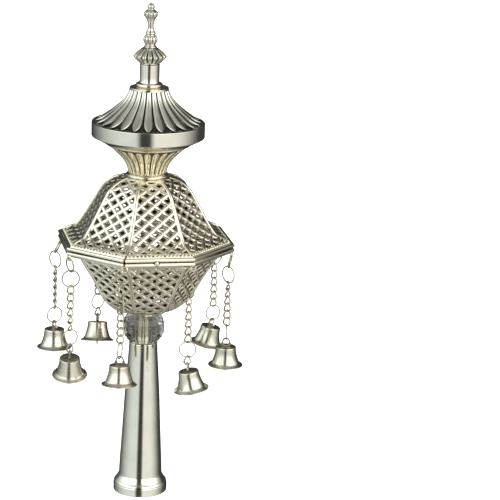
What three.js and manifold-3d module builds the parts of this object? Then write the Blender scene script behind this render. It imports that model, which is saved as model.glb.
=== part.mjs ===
// A torah finial: one of the ornaments that stand on the upper ends of a scroll's two rollers.
// Millimetres, +Z up. The origin is the centre of the foot's flat underside, so the finial stands on z = 0.
// A hollow tapered stem carries a cut crystal bead, an eight-sided openwork lantern hung with small bells,
// a fluted calyx, a fluted roof and a spire. The openwork is a plain thin shell here.
import * as THREE from "three";
import { mergeVertices } from "three/addons/utils/BufferGeometryUtils.js";
import Module from "manifold-3d";

const wasm = await Module();
wasm.setup();

// ---- driving dimensions ----
const GAP = 0.3; // between pieces that rest on each other
const SIDES = 8; // of the lantern
const CORNER_STEP = (2 * Math.PI) / SIDES;
const ROUND = 16; // segments round most turned pieces

const FOOT_RADIUS = 18.4;
const STEM_TOP = 107.1;
const STEM_WALL = 0.8;
const ROD_RADIUS = 3.5; // the central rod, seen through the crystal and the openwork
const CRYSTAL_RADIUS = 13.9;
const CRYSTAL_TOP = 126.9;
const BOWL_BOTTOM = 129.3;
const BOWL_TOP = 172.7;
const RIM_MIDDLE = 178;
const RIM_RADIUS = 61; // corner to centre
const DOME_TOP = 222.6;
const SHEET = 1; // wall of the lantern, calyx and roof
const CALYX_BOTTOM = 225.5;
const CALYX_TOP = 245.6;
const FLUTES = 24;
const VIEW_TURN = THREE.MathUtils.degToRad(-9.7); // a flute of the roof points this way from -Y
const ROOF_TOP = 283;
const BAND_RADIUS = 37.7;
const BAND_TOP = 259.4;
const BAND_BOTTOM = 250.5;
const TUBE_TOP = 298.3;
const BEAD_TOP = 309.2;
const TIP = 338.6;

// Bells hang from the corners of the rim, one corner is bare.
const EYE = { reach: 59, z: 173.4, radius: 1.9, wire: 0.6, steps: 4 };
const HANGER = { radius: 4.6, wire: 0.7 };
const UPPER_RING = { radius: 5.7, wire: 0.45 };
const LOWER_RING = { radius: 5.4, wire: 0.35 };
const LINK = { radius: 2.84, width: 2.15, wire: 0.45, steps: 4 };
const BELL = { mouth: 11.7, height: 13.4, wall: 0.7 };
const STRAP = { radius: 2.7, width: 2.3, wire: 0.35, across: 0.6 }; // the loop on a bell

// How each bell hangs, as it came to rest: how far its top ring swings sideways and how much shorter its
// chain hangs than its links reach, in mm, the links of its chain and the extra link under the lower
// ring, how that ring and the strap are turned, and how the bell leans, in degrees. "side" is toward +X
// and "back" toward +Y.
const HANGINGS = [
  { swing: 1.0, slack: 1.2, links: 6, extra: 1, ring: 40, strap: 100, side: 0, back: -14 },
  { swing: 3.8, slack: 1.2, links: 6, extra: 0, ring: 27, strap: 117, side: 0, back: -2 },
  { swing: -1.2, slack: 0, links: 6, extra: 1, ring: 30, strap: 90, side: 0, back: 13 },
  { swing: 2.1, slack: 0, links: 6, extra: 0, ring: 75, strap: 175, side: 0, back: -5 },
  { swing: 2.3, slack: -0.8, links: 6, extra: 1, ring: 0, strap: 85, side: 10, back: 0 },
  { swing: 1.7, slack: 0, links: 6, extra: 0, ring: 88, strap: 180, side: 0, back: 0 },
  { swing: 2.1, slack: 0, links: 6, extra: 0, ring: 27, strap: 117, side: -12, back: 0 },
];

// ---- materials ----
const metal = (name, color, roughness) =>
  new THREE.MeshStandardMaterial({ name, color, roughness, metalness: 1 });
const brushedSilver = metal("brushed_silver", 0xc9c8bb, 0.3);
const castSilver = metal("cast_silver", 0xc4c0ab, 0.35);
const wireSilver = metal("wire_silver", 0xb9b398, 0.3);
const crystalGlass = new THREE.MeshStandardMaterial({
  name: "crystal_glass",
  color: 0xe8edf0,
  roughness: 0.02,
  metalness: 0,
  transparent: true,
  opacity: 0.4,
});

// ---- outlines: lists of [radius, height] ----
const smooth = (points, divisions) =>
  new THREE.SplineCurve(points.map(([r, z]) => new THREE.Vector2(r, z)))
    .getPoints(divisions)
    .map((p) => [p.x, p.y]);

// The points of a round, from one angle to another in degrees, 0 pointing outward and 90 up.
const arc = (r, z, radius, from, to, steps) => {
  const points = [];
  for (let i = 0; i <= steps; i += 1) {
    const a = THREE.MathUtils.degToRad(from + ((to - from) * i) / steps);
    points.push([r + radius * Math.cos(a), z + radius * Math.sin(a)]);
  }
  return points;
};

// Moves an outline that runs upward by a distance toward the axis, square to itself.
const inset = (points, distance) =>
  points.map(([r, z], i) => {
    const before = points[Math.max(i - 1, 0)];
    const after = points[Math.min(i + 1, points.length - 1)];
    const dr = after[0] - before[0];
    const dz = after[1] - before[1];
    const length = Math.hypot(dr, dz);
    return [r - (distance * dz) / length, z + (distance * dr) / length];
  });

// ---- solids ----
// Turns an outline about +Z. Corners of a low segment count stand at start, measured from -Y toward +X.
const turned = (outline, segments = ROUND, start = 0) => {
  const points = outline.map(([r, z]) => new THREE.Vector2(Math.max(r, 0), z));
  const geometry = new THREE.LatheGeometry(points, segments, start, Math.PI * 2);
  geometry.rotateX(Math.PI / 2);
  return geometry;
};

const closedLoop = (outline) => [...outline, outline[0]];

// A closed loop of wire that stands upright in the XZ plane: a ring, or with a width a narrower link.
// The wire is three-sided with an edge inward, and across stretches it along Y into a strap.
const wireLoop = ({ radius, width = radius, wire, across = 1, steps = 6 }) => {
  const loop = new THREE.TorusGeometry(1, 0.5, 3, steps);
  const position = loop.attributes.position;
  for (let i = 0; i < position.count; i += 1) {
    const x = position.getX(i);
    const y = position.getY(i);
    const angle = Math.atan2(x, -y);
    const inward = (Math.hypot(x, y) - 1) * 2 * wire;
    const sideways = position.getZ(i) * 2 * wire * across;
    position.setXYZ(i, (width - inward) * Math.cos(angle), sideways, (radius - inward) * Math.sin(angle));
  }
  return loop;
};

const solid = (geometry) => {
  const bare = geometry.index ? geometry.toNonIndexed() : geometry.clone();
  bare.deleteAttribute("normal");
  bare.deleteAttribute("uv");
  const merged = mergeVertices(bare, 1e-4);
  return new wasm.Manifold(
    new wasm.Mesh({
      numProp: 3,
      vertProperties: new Float32Array(merged.attributes.position.array),
      triVerts: new Uint32Array(merged.index.array),
    }),
  );
};

const geometryOf = (manifold) => {
  const mesh = manifold.getMesh();
  const geometry = new THREE.BufferGeometry();
  geometry.setAttribute("position", new THREE.BufferAttribute(new Float32Array(mesh.vertProperties), 3));
  geometry.setIndex(new THREE.BufferAttribute(new Uint32Array(mesh.triVerts), 1));
  geometry.computeVertexNormals();
  return geometry;
};

const joined = (geometries) => geometryOf(geometries.map(solid).reduce((all, next) => all.add(next)));

// Presses grooves into a turned piece whose segments are twice the grooves: every second column of
// points moves in by the depth that depthAt gives for its height and radius.
const fluted = (geometry, depthAt, count = FLUTES) => {
  const position = geometry.attributes.position;
  for (let i = 0; i < position.count; i += 1) {
    const x = position.getX(i);
    const y = position.getY(i);
    const radius = Math.hypot(x, y);
    const column = Math.round((Math.atan2(x, -y) * count) / Math.PI);
    if (radius > 1 && Math.abs(column % 2) === 1) {
      const scale = 1 - depthAt(position.getZ(i), radius) / radius;
      position.setXY(i, x * scale, y * scale);
    }
  }
  return geometry;
};

const piece = (name, geometry, material) => {
  const mesh = new THREE.Mesh(geometry, material);
  mesh.name = name;
  return mesh;
};

const finial = new THREE.Group();

// ---- stem: a tapered tube with a rolled foot, open below ----
const stemOutline = () => [
  [FOOT_RADIUS - 0.6, 0],
  [FOOT_RADIUS, 0.7],
  [FOOT_RADIUS, 5.4],
  [FOOT_RADIUS - 0.9, 7.6],
  [15.8, 9.8],
  [14.85, 12.2],
  [14.4, 22],
  [13.1, 46],
  [11.9, 70],
  [10.1, 97],
  [9.6, 104],
  [9, STEM_TOP],
];
const stem = () => {
  const outer = stemOutline();
  const bore = [
    [0, STEM_TOP - 1.4],
    [8, STEM_TOP - 1.4],
    [10.1 - STEM_WALL, 97],
    [11.9 - STEM_WALL, 70],
    [14.85 - STEM_WALL, 12],
    [14.1, 0],
  ];
  return turned([...bore, ...outer, [0, STEM_TOP]], 20);
};
finial.add(piece("stem", stem(), brushedSilver));

// ---- central rod and the cut crystal bead threaded on it ----
const rodOutline = [
  [0, STEM_TOP + GAP],
  [ROD_RADIUS, STEM_TOP + GAP],
  [ROD_RADIUS, DOME_TOP - 1.3],
  [0, DOME_TOP - 1.3],
];
finial.add(piece("central_rod", turned(rodOutline, 12), wireSilver));

// Facets: a belt of flat faces, with rows above and below whose corners stand half a step round.
const crystal = () => {
  const facets = 16;
  const bore = ROD_RADIUS + GAP;
  const levels = [
    [9.4, STEM_TOP + GAP],
    [12.2, 110.6],
    [CRYSTAL_RADIUS, 114.9],
    [CRYSTAL_RADIUS, 121.4],
    [12.6, 124.9],
    [9.9, CRYSTAL_TOP],
  ];
  const outline = [[bore, STEM_TOP + GAP], ...levels, [bore, CRYSTAL_TOP]];
  return turned(closedLoop(outline), facets);
};
finial.add(piece("crystal_bead", crystal(), crystalGlass));

// ---- lantern: collar, bowl, two rim mouldings, dome, collar ----
const octagonStart = CORNER_STEP / 2;
const bowlCollar = [
  [ROD_RADIUS + GAP, CRYSTAL_TOP + GAP],
  [9.9, CRYSTAL_TOP + GAP],
  ...arc(10.2, 128.1, 0.8, -60, 60, 2),
  [9.9, BOWL_BOTTOM - GAP],
  [ROD_RADIUS + GAP, BOWL_BOTTOM - GAP],
];
finial.add(piece("bowl_collar", turned(closedLoop(bowlCollar)), castSilver));

const bowl = () => {
  const wallOutline = smooth(
    [
      [12, BOWL_BOTTOM],
      [20.8, 132.4],
      [30.8, 141.3],
      [40, 157.1],
      [46.5, 167],
      [49.8, BOWL_TOP],
    ],
    7,
  );
  const inner = inset(wallOutline, SHEET);
  const centre = ROD_RADIUS + GAP;
  const floor = BOWL_BOTTOM + SHEET;
  const outline = [[centre, BOWL_BOTTOM], ...wallOutline, ...inner.slice(1).reverse(), [11.5, floor], [centre, floor]];
  return turned(closedLoop(outline), SIDES, octagonStart);
};
finial.add(piece("bowl", bowl(), castSilver));

const lowerRimOutline = [
  [50.5, BOWL_TOP + GAP],
  [58.5, BOWL_TOP + GAP + 1.6],
  ...arc(59.6, 176.5, 1.35, -70, 70, 4),
  [58.5, RIM_MIDDLE - GAP / 2],
  [50.5, RIM_MIDDLE - GAP / 2],
];
const eye = () => wireLoop(EYE).translate(EYE.reach, 0, EYE.z);
const lowerRim = () => {
  const parts = [turned(closedLoop(lowerRimOutline), SIDES, octagonStart)];
  for (let i = 0; i < SIDES; i += 1) {
    parts.push(eye().rotateZ((i + 0.5) * CORNER_STEP));
  }
  return joined(parts);
};
finial.add(piece("lower_rim", lowerRim(), castSilver));

const upperRimOutline = [
  [54.2, RIM_MIDDLE + GAP / 2],
  [58.6, RIM_MIDDLE + GAP / 2],
  ...arc(59.6, 179.5, 1.35, -70, 70, 4),
  [58.4, 181.2],
  [57.8, 181.9],
  [56.9, 181.9],
  [56.4, 181.2],
  [54.2, 181.2],
];
finial.add(piece("upper_rim", turned(closedLoop(upperRimOutline), SIDES, octagonStart), castSilver));

const rivet = () => {
  const head = new THREE.SphereGeometry(1.7, 8, 5);
  head.translate(-1.8, -(RIM_RADIUS * Math.cos(CORNER_STEP / 2)) - 1.75, RIM_MIDDLE - 0.4);
  return head;
};
finial.add(piece("rim_rivet", rivet(), castSilver));

const domeOutline = () => [
  [56, 181.5],
  [56, 182.7],
  ...smooth(
    [
      [52, 184.6],
      [46.8, 186.6],
      [41, 195],
      [36.3, 203],
      [32, 210.4],
      [28.2, 216],
      [22, 221],
      [16, DOME_TOP],
    ],
    10,
  ),
];
const dome = () => {
  const outer = domeOutline();
  const inner = inset(outer.slice(1), SHEET + 0.2);
  const hole = 7;
  const outline = [
    ...outer,
    [hole, DOME_TOP],
    [hole, DOME_TOP - SHEET],
    [16, DOME_TOP - SHEET],
    ...inner.slice(1, -1).reverse(),
    [53.5, 181.5],
  ];
  return turned(closedLoop(outline), SIDES, octagonStart);
};
finial.add(piece("dome", dome(), castSilver));

const domeCollar = [
  [0, DOME_TOP + GAP],
  [13.6, DOME_TOP + GAP],
  ...arc(13.3, 224, 1, -50, 50, 2),
  [13.2, CALYX_BOTTOM - GAP],
  [0, CALYX_BOTTOM - GAP],
];
finial.add(piece("dome_collar", turned(domeCollar), brushedSilver));

// ---- calyx: a fluted cup that opens upward into the roof ----
const calyx = () => {
  const side = smooth(
    [
      [12.6, CALYX_BOTTOM],
      [13.7, 229],
      [17.1, 235],
      [21.4, 239.8],
      [28.4, CALYX_TOP],
    ],
    4,
  );
  const depth = (z) => (z < CALYX_TOP - 1 ? 0.7 : 0);
  const outside = fluted(turned([[0, CALYX_BOTTOM], ...side, [0, CALYX_TOP]], FLUTES * 2), depth);
  const hollow = turned(
    [
      [0, CALYX_BOTTOM + 2],
      [10.7, CALYX_BOTTOM + 2],
      [15.4, 235],
      [19.6, 239.8],
      [26.4, CALYX_TOP + 0.4],
      [0, CALYX_TOP + 0.4],
    ],
    16,
  );
  return geometryOf(solid(outside).subtract(solid(hollow))).rotateZ(VIEW_TURN);
};
finial.add(piece("calyx", calyx(), castSilver));

// ---- roof: fluted above a plain band, hollow, open below ----
const roof = () => {
  const slope = smooth(
    [
      [36, 260],
      [30, 263.2],
      [23.1, 268.5],
      [17.8, 273.6],
      [14.8, 277.6],
      [12.9, 282],
    ],
    4,
  );
  const bottom = CALYX_TOP + GAP;
  const outline = [
    [0, bottom],
    [29.6, bottom],
    [BAND_RADIUS - 0.5, BAND_BOTTOM - 0.4],
    [BAND_RADIUS, BAND_BOTTOM],
    [BAND_RADIUS, BAND_TOP],
    ...slope,
    [12.2, ROOF_TOP],
    [0, ROOF_TOP],
  ];
  const depth = (z, radius) => (z > BAND_TOP + 1 && z < ROOF_TOP ? 0.03 * radius + 0.4 : 0);
  const hollow = turned(
    [
      [0, bottom - 0.4],
      [26.4, bottom - 0.4],
      [BAND_RADIUS - 2.2, BAND_BOTTOM + 0.6],
      [BAND_RADIUS - 2.2, 256.6],
      [25.6, 262.4],
      [14.2, 273.6],
      [10.4, ROOF_TOP - 2],
      [0, ROOF_TOP - 2],
    ],
    16,
  );
  const outside = fluted(turned(outline, FLUTES * 2), depth);
  return geometryOf(solid(outside).subtract(solid(hollow))).rotateZ(VIEW_TURN);
};
finial.add(piece("roof", roof(), brushedSilver));

// ---- neck tube with its ring, ribbed bead and spire ----
const neckOutline = [
  [0, ROOF_TOP + GAP],
  [8.9, ROOF_TOP + GAP],
  ...arc(7.9, 284.9, 1.1, -40, 60, 2),
  [6.6, 287],
  [6.6, TUBE_TOP],
  [0, TUBE_TOP],
];
finial.add(piece("neck_tube", turned(neckOutline), brushedSilver));

const BEAD_RIBS = 14;
const ribbedBead = () => {
  const bottom = TUBE_TOP + GAP;
  const middle = (bottom + BEAD_TOP) / 2;
  const reach = 62; // degrees of the round, above and below its widest
  const height = (BEAD_TOP - bottom) / 2 / Math.sin(THREE.MathUtils.degToRad(reach));
  const side = arc(0, 0, 1, -reach, reach, 4).map(([r, z]) => [11 * r, middle + height * z]);
  const outline = [[0, bottom], ...side, [0, BEAD_TOP]];
  return fluted(turned(outline, BEAD_RIBS * 2), (z, radius) => 0.08 * radius, BEAD_RIBS);
};
finial.add(piece("ribbed_bead", ribbedBead(), castSilver));

const spireOutline = [
  [0, BEAD_TOP + GAP],
  [4.2, BEAD_TOP + GAP],
  [3.6, 311],
  ...arc(3.2, 314.2, 1.7, -60, 60, 3),
  [3, 317.2],
  [3.5, 318.6],
  [2.6, 320],
  [2, 323.6],
  [2.5, 326.4],
  [3.3, 328.6],
  ...arc(3.7, 331.2, 1.4, -60, 60, 2),
  [3.1, 334],
  [2.2, 336.2],
  [1, 338],
  [0, TIP],
];
finial.add(piece("spire", turned(spireOutline, 10), castSilver));

// ---- chains and bells ----
const LEFT = new THREE.Vector3(-Math.cos(VIEW_TURN), -Math.sin(VIEW_TURN), 0);
const PRESSED = 0.75; // of two wire radii, how far apart two wires that bear on each other are made
const bearing = (a, b) => (a.wire + b.wire) * PRESSED;

// A chain from its eye down: a hanger ring, a ring, links and a ring, and on some bells one more link.
// Gives its parts, and the place where the bell's strap rests.
const chain = (corner, { swing, slack, links, extra, ring, strap }) => {
  const angle = (corner + 0.5) * CORNER_STEP - Math.PI;
  const facing = (degrees) => THREE.MathUtils.degToRad(degrees) + VIEW_TURN;
  const at = new THREE.Vector3(Math.sin(angle), -Math.cos(angle), 0).multiplyScalar(EYE.reach);
  at.z = EYE.z - EYE.radius + EYE.wire + HANGER.wire + GAP;

  const down = LEFT.clone().multiplyScalar(swing);
  down.z = -2 * HANGER.radius;
  down.normalize();
  const plumb = new THREE.Vector3(0, 0, -1);
  const hanger = wireLoop(HANGER).rotateZ(angle).translate(0, 0, -HANGER.radius);
  hanger.applyQuaternion(new THREE.Quaternion().setFromUnitVectors(plumb, down));
  const parts = [hanger.translate(at.x, at.y, at.z)];
  at.addScaledVector(down, 2 * HANGER.radius);

  let above = HANGER;
  const hang = (loop, heading) => {
    at.z += bearing(above, loop) - loop.radius;
    parts.push(wireLoop(loop).rotateZ(heading).translate(at.x, at.y, at.z));
    at.z -= loop.radius;
    above = loop;
  };
  hang(UPPER_RING, angle + Math.PI / 2);
  for (let i = 0; i < links; i += 1) {
    at.z += slack / links;
    hang(LINK, angle + (i * Math.PI) / 2);
  }
  hang(LOWER_RING, facing(ring));
  for (let i = 0; i < extra; i += 1) {
    hang(LINK, facing(strap - 90));
  }
  at.z += above.wire + GAP;
  return { parts, at };
};

// A bell hangs from its origin, the inside of its strap. Its flat top is below that by the strap's hole.
const BELL_TOP = 0.3 - 2 * STRAP.radius;
const bell = (heading) => {
  const { mouth, height, wall } = BELL;
  const outline = [
    [0, height - wall],
    [6.5 - wall, 12],
    [8 - wall, 4.6],
    [mouth - wall, 0],
    [mouth, 0],
    [9.2, 2.8],
    [8, 5.2],
    [6.8, 12.2],
    [6, height],
    [0, height],
  ];
  const cup = turned(outline, 10).translate(0, 0, BELL_TOP - height);
  const strap = wireLoop({ ...STRAP, across: STRAP.across / STRAP.wire });
  return joined([cup, strap.rotateZ(heading).translate(0, 0, STRAP.wire - STRAP.radius)]);
};

const clapper = () => {
  const outline = [
    [0, -1.6],
    [1.7, -0.9],
    [0.6, 0],
    [0.6, BELL.height - BELL.wall - GAP],
    [0, BELL.height - BELL.wall - GAP],
  ];
  return turned(outline, 5).translate(0, 0, BELL_TOP - BELL.height);
};

HANGINGS.forEach((hanging, corner) => {
  const number = corner + 1;
  const { parts, at } = chain(corner, hanging);
  finial.add(piece(`chain_${number}`, joined(parts), wireSilver));
  const hung = new THREE.Group();
  hung.position.copy(at);
  hung.rotation.order = "ZXY";
  hung.rotation.z = VIEW_TURN;
  hung.rotation.x = THREE.MathUtils.degToRad(hanging.back);
  hung.rotation.y = THREE.MathUtils.degToRad(-hanging.side);
  hung.add(piece(`bell_${number}`, bell(THREE.MathUtils.degToRad(hanging.strap)), brushedSilver));
  hung.add(piece(`clapper_${number}`, clapper(), wireSilver));
  finial.add(hung);
});

export default finial;
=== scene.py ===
"""A torah finial: a tapered stem, a cut crystal bead, an eight-sided openwork lantern hung with small
bells, a fluted calyx, a fluted roof and a spire.

Outlines and sizes are in millimetres, [radius, height] with the stem's foot at height 0, and become
metres when a mesh is made. Angles round the axis are measured from -Y toward +X.
"""

import logging
import math
from dataclasses import dataclass, field
from enum import Enum
from typing import Callable

import bmesh
import bpy
import numpy as np
from mathutils import Matrix


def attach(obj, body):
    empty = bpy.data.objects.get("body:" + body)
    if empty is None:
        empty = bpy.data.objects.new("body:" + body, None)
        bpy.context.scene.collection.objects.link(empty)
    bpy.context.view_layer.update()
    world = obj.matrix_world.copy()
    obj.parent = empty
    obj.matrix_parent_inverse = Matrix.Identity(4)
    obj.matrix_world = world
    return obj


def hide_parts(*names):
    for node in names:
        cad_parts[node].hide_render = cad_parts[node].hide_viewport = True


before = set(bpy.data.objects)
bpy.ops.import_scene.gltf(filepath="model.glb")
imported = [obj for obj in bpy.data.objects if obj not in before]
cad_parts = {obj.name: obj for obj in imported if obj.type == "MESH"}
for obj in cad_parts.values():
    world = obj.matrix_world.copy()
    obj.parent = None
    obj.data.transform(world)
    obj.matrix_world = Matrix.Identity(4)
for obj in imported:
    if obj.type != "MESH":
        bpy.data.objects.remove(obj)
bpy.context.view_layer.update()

LOG = logging.getLogger("finial")
MM = 0.001
WELD = 2e-7  # metres: points nearer than this become one
SLIVER = 1e-8  # metres: edges shorter than this are taken out
SIDES = 8
CORNER_STEP = 2 * math.pi / SIDES
FACE_ANGLE = -9.7  # degrees: the way that the fluting and the bells' straps are set, from -Y toward +X
FACING = math.radians(FACE_ANGLE)
FLUTES = 24

Points = np.ndarray
Material = bpy.types.Material
Press = Callable[[Points, Points, Points], tuple[Points, Points]]


# ---------------------------------------------------------------- outlines


def rounded(points: list[tuple[float, float]], steps: int = 6) -> Points:
    """A smooth outline through some points: a cubic on each stretch, whose slope at a point is half the
    way between the points beside it.

    Args:
        points: the points that the outline passes through.
        steps: how many stretches each gap is divided into.

    Returns:
        The outline's points as rows.
    """
    given = np.array(points, float)
    padded = np.vstack([2 * given[0] - given[1], given, 2 * given[-1] - given[-2]])
    before, start, end, after = padded[:-3], padded[1:-2], padded[2:-1], padded[3:]
    t = (np.arange(steps) / steps)[None, :, None]
    a, b, c, d = (p[:, None, :] for p in (before, start, end, after))
    way = 2 * b + (c - a) * t + (2 * a - 5 * b + 4 * c - d) * t**2 + (3 * b - a - 3 * c + d) * t**3
    return np.vstack([(0.5 * way).reshape(-1, given.shape[1]), given[-1:]])


def arc(r: float, z: float, radius: float, start: float, end: float, steps: int = 8) -> Points:
    """Part of a round: centre plus radius times (cos, sin) of angles from start to end in degrees.

    Args:
        r: the centre's distance from the axis.
        z: the centre's height.
        radius: the round's radius.
        start: first angle, 0 pointing outward and 90 up.
        end: last angle.
        steps: how many stretches it is divided into.

    Returns:
        The points as rows.
    """
    angle = np.radians(np.linspace(start, end, steps + 1))
    return np.stack([r + radius * np.cos(angle), z + radius * np.sin(angle)], axis=1)


def inset(outline: Points, distance: float) -> Points:
    """The same outline moved square to itself, toward the axis where it runs upward.

    Args:
        outline: points as rows.
        distance: how far it moves.

    Returns:
        The moved points.
    """
    run = np.gradient(outline, axis=0)
    length = np.linalg.norm(run, axis=1, keepdims=True)
    return outline + distance * np.stack([-run[:, 1], run[:, 0]], axis=1) / length


def softly(value: Points, low: float, high: float) -> Points:
    """0 below low and 1 above high, with the smooth step 3t^2 - 2t^3 between."""
    t = np.clip((value - low) / (high - low), 0, 1)
    return t * t * (3 - 2 * t)


# ---------------------------------------------------------------- skins


class Slot(Enum):
    """The record's material slots."""

    BRUSHED = "brushed_silver"
    CAST = "cast_silver"
    WIRE = "wire_silver"
    CRYSTAL = "crystal"


@dataclass
class Skin:
    """A mesh in the making: points in mm, four-sided faces, a UV for each face corner, and for each
    point how deep it lies in a hollow, from 0 on what stands proud to 1, by which the finishes paint shade."""

    points: Points
    faces: Points
    uv: Points
    hollow: Points

    @staticmethod
    def grid(
        points: Points, round_rows: bool, round_columns: bool, hollow: Points | float = 0.0
    ) -> "Skin":
        """A surface on a grid of points: the face (i, j) joins rows i and i+1 and columns j and j+1.

        Args:
            points: rows by columns by 3.
            round_rows: whether the last row joins the first.
            round_columns: whether the last column joins the first.
            hollow: one value, or one for each point.

        Returns:
            The skin, turned so that a closed one faces outward.
        """
        rows, columns = points.shape[:2]
        i = np.arange(rows if round_rows else rows - 1)[:, None]
        j = np.arange(columns if round_columns else columns - 1)[None, :]
        i, j = np.broadcast_arrays(i, j)
        below, above = i * columns, (i + 1) % rows * columns
        left, right = j, (j + 1) % columns
        faces = np.stack([below + left, below + right, above + right, above + left], axis=-1)
        u = np.stack([j, j + 1, j + 1, j], axis=-1) / columns
        v = np.stack([i, i, i + 1, i + 1], axis=-1) / rows
        depth = np.broadcast_to(np.asarray(hollow, float), (rows, columns))
        skin = Skin(
            points.reshape(-1, 3),
            faces.reshape(-1, 4),
            np.stack([u, v], axis=-1).reshape(-1, 4, 2),
            depth.reshape(-1).copy(),
        )
        return skin.outward()

    def outward(self) -> "Skin":
        """The same skin with its faces turned over if the volume that they hold comes out negative."""
        a, b, c, d = (self.points[self.faces[:, k]] for k in range(4))
        volume = np.einsum("ij,ij->", a, np.cross(b, c)) + np.einsum("ij,ij->", a, np.cross(c, d))
        if volume < 0:
            self.faces, self.uv = self.faces[:, ::-1].copy(), self.uv[:, ::-1].copy()
        return self

    def moved(self, turn: Points, place: Points) -> "Skin":
        """A copy turned by a 3x3 matrix and then moved by a place in mm."""
        return Skin(self.points @ turn.T + place, self.faces, self.uv, self.hollow)

    @staticmethod
    def joined(skins: list["Skin"]) -> "Skin":
        """Several skins as one, each keeping its own points."""
        starts = np.cumsum([0] + [len(s.points) for s in skins[:-1]])
        return Skin(
            np.vstack([s.points for s in skins]),
            np.vstack([s.faces + start for s, start in zip(skins, starts)]),
            np.vstack([s.uv for s in skins]),
            np.concatenate([s.hollow for s in skins]),
        )

    def piece(
        self, name: str, slot: Slot, finish: Material, nodes: list[str], sharp: float = 38
    ) -> None:
        """Makes the Blender object of this skin, dresses it and puts it in the frame.

        Args:
            name: the piece's name.
            slot: not used; the record's material slot meant for its finish.
            finish: its material.
            nodes: the CAD nodes that it stands for.
            sharp: edges that turn by more than this many degrees stay crisp.
        """
        mesh = bpy.data.meshes.new(name)
        mesh.from_pydata((self.points * MM).tolist(), [], self.faces.tolist())
        mesh.uv_layers.new(name="around").uv.foreach_set("vector", self.uv.astype(np.float32).ravel())
        # the hollow share goes to the finishes, which darken by it as painted shade
        depth = mesh.attributes.new("hollow", "FLOAT", "POINT")
        depth.data.foreach_set("value", self.hollow.astype(np.float32))
        work = bmesh.new()
        work.from_mesh(mesh)
        bmesh.ops.remove_doubles(work, verts=work.verts, dist=WELD)
        bmesh.ops.dissolve_degenerate(work, edges=work.edges, dist=SLIVER)
        work.to_mesh(mesh)
        work.free()
        mesh.shade_smooth()
        mesh.set_sharp_from_angle(angle=math.radians(sharp))
        mesh.materials.append(finish)
        made = bpy.data.objects.new(name, mesh)
        bpy.context.scene.collection.objects.link(made)
        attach(made, "root")
        if nodes:
            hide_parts(*nodes)
        LOG.info("%s: %d points, %d faces", name, len(mesh.vertices), len(mesh.polygons))


def turned(outline: Points, columns: int = 96, press: Press | None = None, start: float = 0.0) -> Skin:
    """An outline turned about +Z: the point (r, z) at angle a goes to (r sin a, -r cos a, z).

    Args:
        outline: closed on itself, or with its first and last point on the axis.
        columns: how many steps it takes round the axis.
        press: given radius, height and angle of every point, returns how far it moves outward and how
            deep in a hollow it lies.
        start: the first column's angle in radians.

    Returns:
        The skin.
    """
    angle = start + 2 * np.pi * np.arange(columns)[None, :] / columns
    r = np.repeat(outline[:, :1], columns, axis=1)
    z = np.repeat(outline[:, 1:], columns, axis=1)
    hollow = np.zeros_like(r)
    if press is not None:
        out, hollow = press(r, z, angle + 0 * r)
        r = r + out
    on_axis = outline[0, 0] < 1e-6 and outline[-1, 0] < 1e-6
    points = np.stack([r * np.sin(angle), -r * np.cos(angle), z], axis=-1)
    return Skin.grid(points, not on_axis, True, hollow)


def swept(path: Points, across: Points, section: Points, closed: bool, hollow: Points | float = 0.0) -> Skin:
    """A section carried along a path. Each of its points (s, t) goes to path + s * side + t * up, where up
    is "across" made square to the path and side is square to both.

    Args:
        path: points as rows.
        across: one direction, or one for each point of the path.
        section: points as rows, or one such section for each point of the path.
        closed: whether the path closes on itself. An open one gets pointed ends.
        hollow: one value, or one for each point of the section.

    Returns:
        The skin.
    """
    if closed:
        run = np.roll(path, -1, axis=0) - np.roll(path, 1, axis=0)
    else:
        run = np.gradient(path, axis=0)
    run = run / np.linalg.norm(run, axis=1, keepdims=True)
    up = np.broadcast_to(across, path.shape)
    up = up - np.einsum("ij,ij->i", up, run)[:, None] * run
    up = up / np.linalg.norm(up, axis=1, keepdims=True)
    side = np.cross(run, up)
    shape = np.broadcast_to(section, (len(path), *np.shape(section)[-2:]))
    points = path[:, None] + shape[..., :1] * side[:, None] + shape[..., 1:] * up[:, None]
    depth = np.broadcast_to(np.asarray(hollow, float), points.shape[:2])
    if not closed:
        first, last = (np.broadcast_to(points[k].mean(axis=0), (1, *points.shape[1:])) for k in (0, -1))
        points = np.concatenate([first, points, last])
        depth = np.concatenate([depth[:1], depth, depth[-1:]])
    return Skin.grid(points, closed, True, depth)


def oval(width: float, height: float, sides: int = 8) -> Points:
    """A wire's oval section: half-sizes times (cos, sin) of evenly spaced angles."""
    angle = 2 * np.pi * (np.arange(sides) + 0.5) / sides
    return np.stack([width * np.cos(angle), height * np.sin(angle)], axis=1)


def turn_z(angle: float) -> Points:
    """The matrix that turns about +Z by an angle in radians."""
    c, s = math.cos(angle), math.sin(angle)
    return np.array([[c, -s, 0], [s, c, 0], [0, 0, 1.0]])


def turn_x(angle: float) -> Points:
    """The matrix that turns about +X by an angle in radians."""
    c, s = math.cos(angle), math.sin(angle)
    return np.array([[1.0, 0, 0], [0, c, -s], [0, s, c]])


def turn_y(angle: float) -> Points:
    """The matrix that turns about +Y by an angle in radians."""
    c, s = math.cos(angle), math.sin(angle)
    return np.array([[c, 0, s], [0, 1.0, 0], [-s, 0, c]])


# ---------------------------------------------------------------- finishes


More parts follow.
